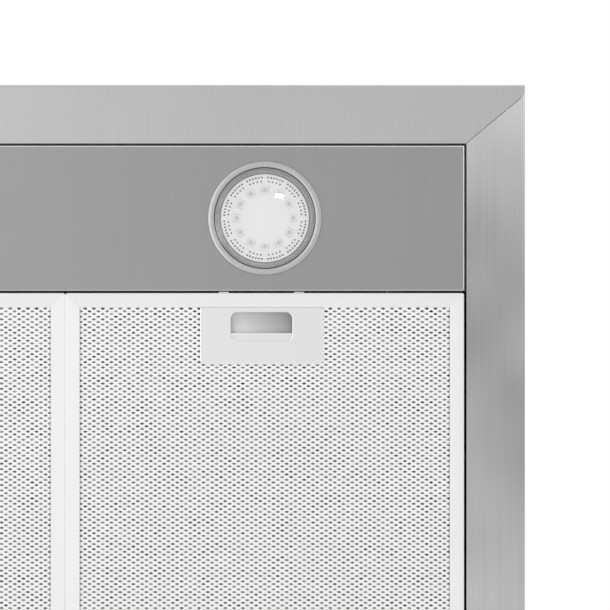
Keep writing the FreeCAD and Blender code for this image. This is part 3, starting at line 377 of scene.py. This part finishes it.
# Lamp sizes are in millimetres. A ring of holes has its radius, the holes between two chips and a hole's radius.
chip_count, chip_circle, chip_side, chip_height, chip_round = 12, 18.2, 4.6, 0.7, 0.2
pad_length, pad_width, pad_height = 4.4, 0.45, 0.08
via_rings = ((26.4, 6, 0.6), (23.8, 4, 0.55))
window_radius, window_rise, dot_height = 1.5, 0.02, 0.06
lens_radius, lens_bulge, lens_lip = 31.6, 1.2, 0.2
ring_steps, disc_steps, dome_steps = 128, 96, 12
for side in ("left", "right"):
    low, high = (Vector(c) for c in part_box("lamp_bezel_" + side))
    centre = (low + high) / 2
    face, throat_top = low.z / mm, high.z / mm
    ring = [(33.1, face + 2.2), (33.0, face + 0.5), (33.1, face + 0.12), (33.4, face), (36.5, face),
            (36.8, face + 0.12), (36.95, face + 0.45), (37.0, face + 1.4), (34.7, face + 1.4), (34.6, face + 2.2),
            (33.1, face + 2.2)]
    settle(lathe("lamp_trim_" + side, ring, centre, ring_steps), plated, "canopy", "chrome_trim",
           "lamp_bezel_" + side)
    throat = [(32.75, face + 1.6), (32.65, face + 1.0), (32.3, face + 0.8), (31.9, face + 1.0), (30.5, face + 3.6),
              (30.2, face + 3.8), (29.9, face + 3.8), (28.9, throat_top - 0.4), (28.6, throat_top),
              (29.4, throat_top), (33.0, face + 2.4), (32.75, face + 1.6)]
    settle(lathe("lamp_throat_" + side, throat, centre, ring_steps), throat_metal, "canopy", "chrome_trim")
    lens_low, lens_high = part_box("lamp_lens_" + side)
    edge, crown = lens_low[2] / mm, lens_high[2] / mm
    dome = [(lens_radius * k / dome_steps, edge - lens_bulge + lens_lip + lens_bulge * (k / dome_steps) ** 2)
            for k in range(dome_steps + 1)]
    dome += [(lens_radius - lens_lip, crown), (0, crown)]
    cover = lathe("lamp_cover_" + side, dome, centre, disc_steps)
    cover.visible_shadow = cover.visible_diffuse = False  # clear, so the light passes to the board
    settle(cover, clear_cover, "canopy", "clear_lens", "lamp_lens_" + side)
    board_low, board_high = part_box("lamp_board_" + side)
    top = board_low[2] / mm
    disc = [(0, top), (27.4, top), (27.7, top - 0.25), (28.5, top - 0.25), (28.5, top + 0.4), (34.5, top + 0.4),
            (34.5, board_high[2] / mm), (0, board_high[2] / mm)]
    settle(lathe("lamp_board_disc_" + side, disc, centre, disc_steps), board_white, "canopy", "white_board",
           "lamp_board_" + side)
    holes = bmesh.new()
    for radius, per_sector, size in via_rings:
        for sector in range(chip_count):
            for k in range(per_sector):
                turn = math.radians(360 / chip_count * (sector + (k + 1) / (per_sector + 1)))
                spot = Matrix.Translation((centre.x + radius * mm * math.cos(turn),
                                           centre.y + radius * mm * math.sin(turn), (top - dot_height / 2) * mm))
                bmesh.ops.create_cone(holes, cap_ends=True, segments=10, radius1=size * mm, radius2=size * mm,
                                      depth=dot_height * mm, matrix=spot)
    settle(finish_mesh("lamp_board_holes_" + side, holes, 30), via_painted_shade, "canopy", "white_board")
    chips = bmesh.new()
    for k in range(chip_count):
        turn = Matrix.Rotation(2 * math.pi * k / chip_count, 4, "Z")
        spot = Matrix.Translation((centre.x, centre.y, (top - chip_height / 2) * mm)) @ turn
        case = Matrix.Diagonal((chip_side * mm, chip_side * mm, chip_height * mm, 1))
        case.translation.x = chip_circle * mm
        body = bmesh.ops.create_cube(chips, size=1.0, matrix=spot @ case)
        bmesh.ops.bevel(chips, geom=list({e for v in body["verts"] for e in v.link_edges}),
                        offset=chip_round * mm, segments=2, affect="EDGES")
    settle(finish_mesh("lamp_chip_packages_" + side, chips, 40), chip_case, "canopy", "led_phosphor",
           "lamp_chips_" + side)
    pads = bmesh.new()
    for k in range(2 * chip_count):
        turn = Matrix.Rotation(2 * math.pi * (k // 2) / chip_count, 4, "Z")
        spot = Matrix.Translation((centre.x, centre.y, (top - pad_height / 2) * mm)) @ turn
        pad = Matrix.Diagonal((pad_length * mm, pad_width * mm, pad_height * mm, 1))
        pad.translation.x = chip_circle * mm
        pad.translation.y = (chip_side + pad_width) / 2 * (1 if k % 2 else -1) * mm
        bmesh.ops.create_cube(pads, size=1.0, matrix=spot @ pad)
    settle(finish_mesh("lamp_board_pads_" + side, pads, 30), solder, "canopy", "white_board")
    windows = bmesh.new()
    for k in range(chip_count):
        turn = 2 * math.pi * k / chip_count
        spot = Matrix.Translation((centre.x + chip_circle * mm * math.cos(turn),
                                   centre.y + chip_circle * mm * math.sin(turn),
                                   (top - chip_height - window_rise) * mm))
        bmesh.ops.create_cone(windows, cap_ends=True, segments=20, radius1=window_radius * mm,
                              radius2=window_radius * mm, depth=dot_height * mm, matrix=spot)
    settle(finish_mesh("lamp_chip_windows_" + side, windows, 30), chip_resin, "canopy", "led_phosphor")
dress(cup_metal, "lamp_can_left", "lamp_can_right")


# Filters: a roll-formed aluminium channel, bent round three corners and closed by a mitred seam at the fourth, holds
# two faces of expanded aluminium with a folded layer between them. The rolls leave the channel's outer edge round,
# and a painted highlight makes it bright; hook tabs at the rear drop over the back rim.
def aluminium(name, light, dark, roughness, grain):
    """Bare mill-finish aluminium: faint drawing lines along one axis, drawn 1.2 mm apart so that they show."""
    made, tree, shader = surface(name, light, 1.0, roughness)
    line_length, line_gap = 90, 1.2
    scale = [1000 / line_gap] * 3
    scale[grain] = 1000 / line_length
    place = add(tree, "ShaderNodeTexCoord", {}, {})
    stretch = add(tree, "ShaderNodeMapping", {"Scale": scale}, {"Vector": place.outputs["Object"]})
    lines = add(tree, "ShaderNodeTexNoise", {"Scale": 1.0, "Detail": 3.0}, {"Vector": stretch.outputs[0]})
    colour = add(tree, "ShaderNodeMix", {"data_type": "RGBA", 6: linear(dark), 7: linear(light)},
                 {0: lines.outputs["Fac"]})
    tree.links.new(colour.outputs[2], shader.inputs["Base Color"])
    gloss = add(tree, "ShaderNodeMapRange", {"To Min": roughness - 0.05, "To Max": roughness + 0.07},
                {"Value": lines.outputs["Fac"]})
    tree.links.new(gloss.outputs[0], shader.inputs["Roughness"])
    return made


# Mill-finish aluminium: nearly white and dull, with faint lines along each strip of the channel. Its rolled edge
# carries a painted highlight, the expanded faces are clean and pale, and the layers inside are darkened with
# painted shade.
mill_across = aluminium("aluminium_mill_finish_across", "EAEAEA", "E4E4E4", 0.65, 0)
mill_along = aluminium("aluminium_mill_finish_along", "EEEEEE", "E8E8E8", 0.65, 1)
# Painted highlight: rolled and pressed edges get a brighter colour than the flat aluminium, so they read as bright
# lines.
edge_painted_highlight = aluminium("aluminium_rolled_edge_painted_highlight", "F6F6F6", "F0F0F0", 0.25, 0)
mesh_metal = aluminium("aluminium_expanded_bright", "FCFCFC", "F4F4F4", 0.65, 0)
# Painted shade: the inner layers and the folded core take a darker copy of the aluminium, for the shade inside the
# filter.
shaded_metal = aluminium("aluminium_inner_layers_painted_shade", "D8D8D8", "9C9C9C", 0.6, 1)
# The channel's section and corners, the expanded sheet's cell and hole, and the loose layer's place and stray.
border, fold, inner_fold, flange = 9.4 * mm, 0.5 * mm, 0.3 * mm, 0.8 * mm
corner_bend, corner_steps, seam, meeting = 1.4 * mm, 6, 0.06 * mm, 0.16 * mm
quarter = [math.radians(t) for t in (0, 30, 60, 90)]
fold_strips = range(3, 6)
cell_half_x, cell_half_y = 2.85 * mm, 1.74 * mm
hole_half_x, hole_half_y, hole_flat, hole_taper = 1.62 * mm, 0.74 * mm, 0.5 * mm, 0.9
strand_rise, strand_depth, grip = 0.3 * mm, 0.35 * mm, 2 * mm
layer, stray_x, stray_y, stray_z = 1.0 * mm, 0.6, 0.7, 0.3
layer_cell, layer_hole_low, layer_hole_high = 1.1, 0.35, 0.8
for side in ("left", "right"):
    low, high = (Vector(c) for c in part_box("filter_frame_" + side))
    if side == "left":
        high.x += meeting
    else:
        low.x -= meeting
    inner_low = Vector((low.x + border, low.y + border, low.z))
    inner_high = Vector((high.x - border, high.y - border, high.z))
    depth = high.z - low.z
    outer_curl = [(fold - fold * math.cos(t), fold - fold * math.sin(t)) for t in quarter]
    inner_curl = [(border - inner_fold + inner_fold * math.sin(t), inner_fold - inner_fold * math.cos(t))
                  for t in quarter]
    profile = [(border, depth - flange), (border, depth), (0, depth)] + outer_curl + inner_curl + [(border, flange)]
    path = []
    for x, y, first, last, gap in ((0, 0, 225, 270, (seam, 0)), (1, 0, 270, 360, (0, 0)), (1, 1, 0, 90, (0, 0)),
                                   (0, 1, 90, 180, (0, 0)), (0, 0, 180, 225, (0, seam))):
        corner = Vector((high.x if x else low.x, high.y if y else low.y)) + Vector(gap)
        inward = Vector((-1 if x else 1, -1 if y else 1))
        for step in range(corner_steps + 1):
            turn = math.radians(first + (last - first) * step / corner_steps)
            path.append((corner, inward, Vector((math.cos(turn), math.sin(turn)))))
    channel = bmesh.new()
    grid = []
    for inset, rise in profile:
        spots = [corner + inward * max(corner_bend, inset) + out * max(corner_bend - inset, 0)
                 for corner, inward, out in path]
        grid.append([channel.verts.new((spot.x, spot.y, low.z + rise)) for spot in spots])
    for i, (near, far) in enumerate(zip(grid, grid[1:])):
        for j in range(len(path) - 1):
            made = channel.faces.new((near[j], near[j + 1], far[j + 1], far[j]))
            run = near[j + 1].co - near[j].co
            made.material_index = 2 if i in fold_strips else int(abs(run.y) > abs(run.x))
    bmesh.ops.remove_doubles(channel, verts=channel.verts, dist=0.001 * mm)
    bmesh.ops.recalc_face_normals(channel, faces=channel.faces)
    piece = finish_mesh("filter_channel_" + side, channel, 10)
    settle(piece, mill_across, "filter_" + side, "aluminium", "filter_frame_" + side)
    piece.data.materials.append(mill_along)
    # The outer curl takes the painted highlight.
    piece.data.materials.append(edge_painted_highlight)

    latch_low, latch_high = (Vector(c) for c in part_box("latch_housing_" + side))
    middle = (low + high) / 2
    columns = int((inner_high.x - inner_low.x) / (2 * cell_half_x)) // 2 + 2
    rows = int((inner_high.y - inner_low.y) / cell_half_y) // 2 + 2
    planes = []
    # The lower sheet runs on behind the latch plate, and its holes have walls. The upper one stops at the latch's
    # box and is the mirror of the lower one.
    for sheet, node, facing, margin in (("filter_expanded_face_", "filter_mesh_", 1, -1),
                                        ("filter_expanded_back_", "filter_mesh_upper_", -1, 1)):
        sheet_low, sheet_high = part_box(node + side)
        plane = (sheet_low[2] + sheet_high[2]) / 2
        planes.append(plane)
        points, faces = [], []
        for j in range(-rows, rows + 1):
            for i in range(-columns, columns + 1):
                x = middle.x + (2 * i + j % 2) * cell_half_x
                y = middle.y + j * cell_half_y
                if not (inner_low.x - grip < x < inner_high.x + grip
                        and inner_low.y - grip < y < inner_high.y + grip):
                    continue
                if (latch_low.x - margin * cell_half_x < x < latch_high.x + margin * cell_half_x
                        and y < latch_high.y + margin * cell_half_y):
                    continue
                n = len(points)
                points += [(x - cell_half_x, y, plane), (x, y - cell_half_y, plane), (x + cell_half_x, y, plane),
                           (x, y + cell_half_y, plane)]
                rim = [(-hole_half_x, 0, 0), (-hole_flat, -hole_half_y, strand_rise),
                       (hole_flat, -hole_half_y, strand_rise), (hole_half_x, 0, 0),
                       (hole_flat, hole_half_y, -strand_rise), (-hole_flat, hole_half_y, -strand_rise)]
                points += [(x + u, y + v, plane + facing * w) for u, v, w in rim]
                strands = [(n, n + 1, n + 5, n + 4), (n + 1, n + 6, n + 5), (n + 1, n + 2, n + 7, n + 6),
                           (n + 2, n + 3, n + 8, n + 7), (n + 3, n + 9, n + 8), (n + 3, n, n + 4, n + 9)]
                faces += [strand[::facing] for strand in strands]
                if facing > 0:
                    points += [(x + u * hole_taper, y + v * hole_taper, plane + w + strand_depth)
                               for u, v, w in rim]
                    faces += [(n + 4 + k, n + 4 + (k + 1) % 6, n + 10 + (k + 1) % 6, n + 10 + k)
                              for k in range(6)]
        data = bpy.data.meshes.new(sheet + side)
        data.from_pydata(points, [], faces)
        data.validate()
        data.shade_smooth()
        data.set_sharp_from_angle(angle=math.radians(70))
        piece = bpy.data.objects.new(sheet + side, data)
        bpy.context.collection.objects.link(piece)
        settle(piece, mesh_metal, "filter_" + side, "aluminium", node + side)
    # A crumpled layer shows through the holes: its cells lie at random, so no two holes look alike.
    points, faces = [], []
    chance = random.Random(7)
    for j in range(-rows, rows + 1):
        for i in range(-columns, columns + 1):
            x = middle.x + (2 * i + j % 2 + chance.uniform(-stray_x, stray_x)) * cell_half_x
            y = middle.y + (j + chance.uniform(-stray_y, stray_y)) * cell_half_y
            if not (inner_low.x < x < inner_high.x and inner_low.y < y < inner_high.y):
                continue
            if latch_low.x - cell_half_x < x < latch_high.x + cell_half_x and y < latch_high.y + cell_half_y:
                continue
            n = len(points)
            z = planes[0] + layer + chance.uniform(-stray_z, stray_z) * mm
            for share in (layer_cell, chance.uniform(layer_hole_low, layer_hole_high)):
                points += [(x - cell_half_x * share, y, z), (x, y - cell_half_y * share, z),
                           (x + cell_half_x * share, y, z), (x, y + cell_half_y * share, z)]
            faces += [(n + k, n + (k + 1) % 4, n + 4 + (k + 1) % 4, n + 4 + k) for k in range(4)]
    data = bpy.data.meshes.new("filter_inner_layer_" + side)
    data.from_pydata(points, [], faces)
    inner_sheet = bpy.data.objects.new("filter_inner_layer_" + side, data)
    bpy.context.collection.objects.link(inner_sheet)
    settle(inner_sheet, shaded_metal, "filter_" + side, "aluminium")
    dress(shaded_metal, "filter_core_" + side)
    dress(mill_across, "filter_tabs_" + side)


# Latches: a pressed aluminium plate with a finger opening, a box behind it, and in the box a slider with a folded
# finger lip and two tongues that cross the gap to the light panel. A bowed leaf of spring steel pushes it forward.
# Pressed aluminium, tumbled: an even pale satin with a small round on every edge that carries a painted highlight.
# Inside the box a painted shade darkens it towards the right end.
latch_alloy = aluminium("aluminium_pressed_satin", "DADADA", "D4D4D4", 0.42, 0)
pocket_alloy = aluminium("aluminium_pressed_painted_shade", "D8D8D8", "D0D0D0", 0.5, 0)
tree = pocket_alloy.node_tree
shader = tree.nodes["Principled BSDF"]
place = add(tree, "ShaderNodeTexCoord", {}, {})
spread = add(tree, "ShaderNodeSeparateXYZ", {}, {0: place.outputs["Generated"]})
# Painted shade: the box's colour is scaled down to 0.55 towards its right end, except at the top of its height.
painted_shade_start, painted_shade_full, painted_shade_tone, roof_inside, roof_outside = 0.35, 0.75, 0.55, 0.93, 0.97
painted_shade = add(tree, "ShaderNodeMapRange", {"From Min": painted_shade_start, "From Max": painted_shade_full, "To Min": 1.0,
                                        "To Max": painted_shade_tone}, {"Value": spread.outputs["X"]})
outside = add(tree, "ShaderNodeMapRange", {"From Min": roof_inside, "From Max": roof_outside},
              {"Value": spread.outputs["Z"]})
painted_shade = add(tree, "ShaderNodeMath", {"operation": "MAXIMUM"}, {0: painted_shade.outputs[0], 1: outside.outputs[0]})
unshaded_colour = shader.inputs["Base Color"].links[0].from_socket
shaded_colour = add(tree, "ShaderNodeVectorMath", {"operation": "SCALE"}, {0: unshaded_colour, 3: painted_shade.outputs[0]})
tree.links.new(shaded_colour.outputs[0], shader.inputs["Base Color"])
edge_round, leaf_thickness, leaf_steps = 0.5 * mm, 0.4 * mm, 24
for side in ("left", "right"):
    dress(latch_alloy, "latch_plate_" + side, "latch_slider_" + side)
    dress(pocket_alloy, "latch_housing_" + side)
    for name in ("latch_plate_" + side, "latch_slider_" + side):
        # The bevelled edges take the painted highlight.
        nodes[name].data.materials.append(edge_painted_highlight)
        nodes[name].modifiers.new("joined_faces", "WELD").merge_threshold = 0.01 * mm
        edge = nodes[name].modifiers.new("pressed_edges", "BEVEL")
        edge.width, edge.segments, edge.limit_method = edge_round, 3, "ANGLE"
        edge.angle_limit = math.radians(40)
        edge.use_clamp_overlap, edge.material = False, 1
    low, high = (Vector(c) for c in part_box("latch_spring_" + side))
    leaf = bmesh.new()
    stations = []
    for k in range(leaf_steps + 1):
        x = low.x + (high.x - low.x) * k / leaf_steps
        y = high.y - leaf_thickness - (high.y - leaf_thickness - low.y) * math.sin(math.pi * k / leaf_steps)
        stations.append([leaf.verts.new(spot) for spot in ((x, y, low.z), (x, y + leaf_thickness, low.z),
                                                           (x, y + leaf_thickness, high.z), (x, y, high.z))])
    for near, far in zip(stations, stations[1:]):
        for k in range(4):
            leaf.faces.new((near[k], near[(k + 1) % 4], far[(k + 1) % 4], far[k]))
    leaf.faces.new(stations[0])
    leaf.faces.new(stations[-1])
    bmesh.ops.recalc_face_normals(leaf, faces=leaf.faces)
    spring = finish_mesh("latch_leaf_" + side, leaf, 35)
    settle(spring, plated, "filter_" + side, "chrome_trim", "latch_spring_" + side)
    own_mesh(spring)


# Controls: a black moulded insert, flush with the lip, holds five silver-painted push buttons in front of the
# switch block. Moulded plastic has a fine spark-eroded grain.
def moulded(name, colour, roughness, grain):
    """Moulded plastic with a fine even grain, its size in millimetres."""
    made, tree, shader = surface(name, colour, 0.0, roughness)
    grain_depth = 0.05 * mm
    place = add(tree, "ShaderNodeTexCoord", {}, {})
    texture = add(tree, "ShaderNodeTexNoise", {"Scale": 1000 / grain, "Detail": 2.0},
                  {"Vector": place.outputs["Object"]})
    gloss = add(tree, "ShaderNodeMapRange", {"To Min": roughness - 0.08, "To Max": roughness + 0.1},
                {"Value": texture.outputs["Fac"]})
    tree.links.new(gloss.outputs[0], shader.inputs["Roughness"])
    bump = add(tree, "ShaderNodeBump", {"Strength": 0.25, "Distance": grain_depth},
               {"Height": texture.outputs["Fac"]})
    tree.links.new(bump.outputs[0], shader.inputs["Normal"])
    return made


# ABS, moulded: the insert is black and matt, and the buttons' silver paint has a soft metallic gleam.
black_abs = moulded("abs_black_grained", "1E1E1F", 0.5, 0.8)
dress(black_abs, "control_insert", "switch_block", "cable_gland")
silver_paint = moulded("abs_silver_painted", "B9BABB", 0.35, 0.5)
shader = silver_paint.node_tree.nodes["Principled BSDF"]
shader.inputs["Metallic"].default_value = 0.7
dress(silver_paint, *["button_%d" % k for k in range(1, 6)])

# Blower: a scroll of galvanised sheet between two side plates, a moulded wheel on the motor's shaft, and a black
# painted motor on a pressed spider at the right-hand inlet.
dress(zinc, "blower_scroll", "blower_side_left", "blower_side_right", "motor_spider")
# Glass-filled nylon, moulded: dark grey and matt. The motor's baked enamel is black with an orange-peel gloss.
grey_nylon = moulded("nylon_grey_moulded", "4A4B4D", 0.5, 1.0)
dress(grey_nylon, "blower_wheel", "outlet_collar", "damper_flap_rear", "damper_flap_front")
dress(plated, "blower_shaft", "damper_pin", "flue_screws")
motor_paint = moulded("enamel_black_baked", "26272A", 0.38, 1.4)
dress(motor_paint, "blower_motor")

# Flue covers: two channels of the same brushed steel, the grain running up. The upper one slides in the lower one,
# and its bracket holds it to the wall.
# Brushed stainless steel: upright lines of light along the whole cover.
steel_upright = brushed_steel("stainless_steel_brushed_upright", "BEBEBD", "ABABAA", "z", 0.34)
dress(steel_upright, "flue_lower", "flue_upper")
dress(zinc, "flue_bracket")

# Electrical box: galvanised sheet on the wall sheet, with the motor's capacitor in a white case inside it and a
# black cable gland on its side.
dress(zinc, "junction_box", "junction_cover")
# Polypropylene, moulded: off-white with a waxy, half-matt face.
white_case = moulded("polypropylene_white_case", "E2E2DE", 0.42, 0.9)
dress(white_case, "motor_capacitor")
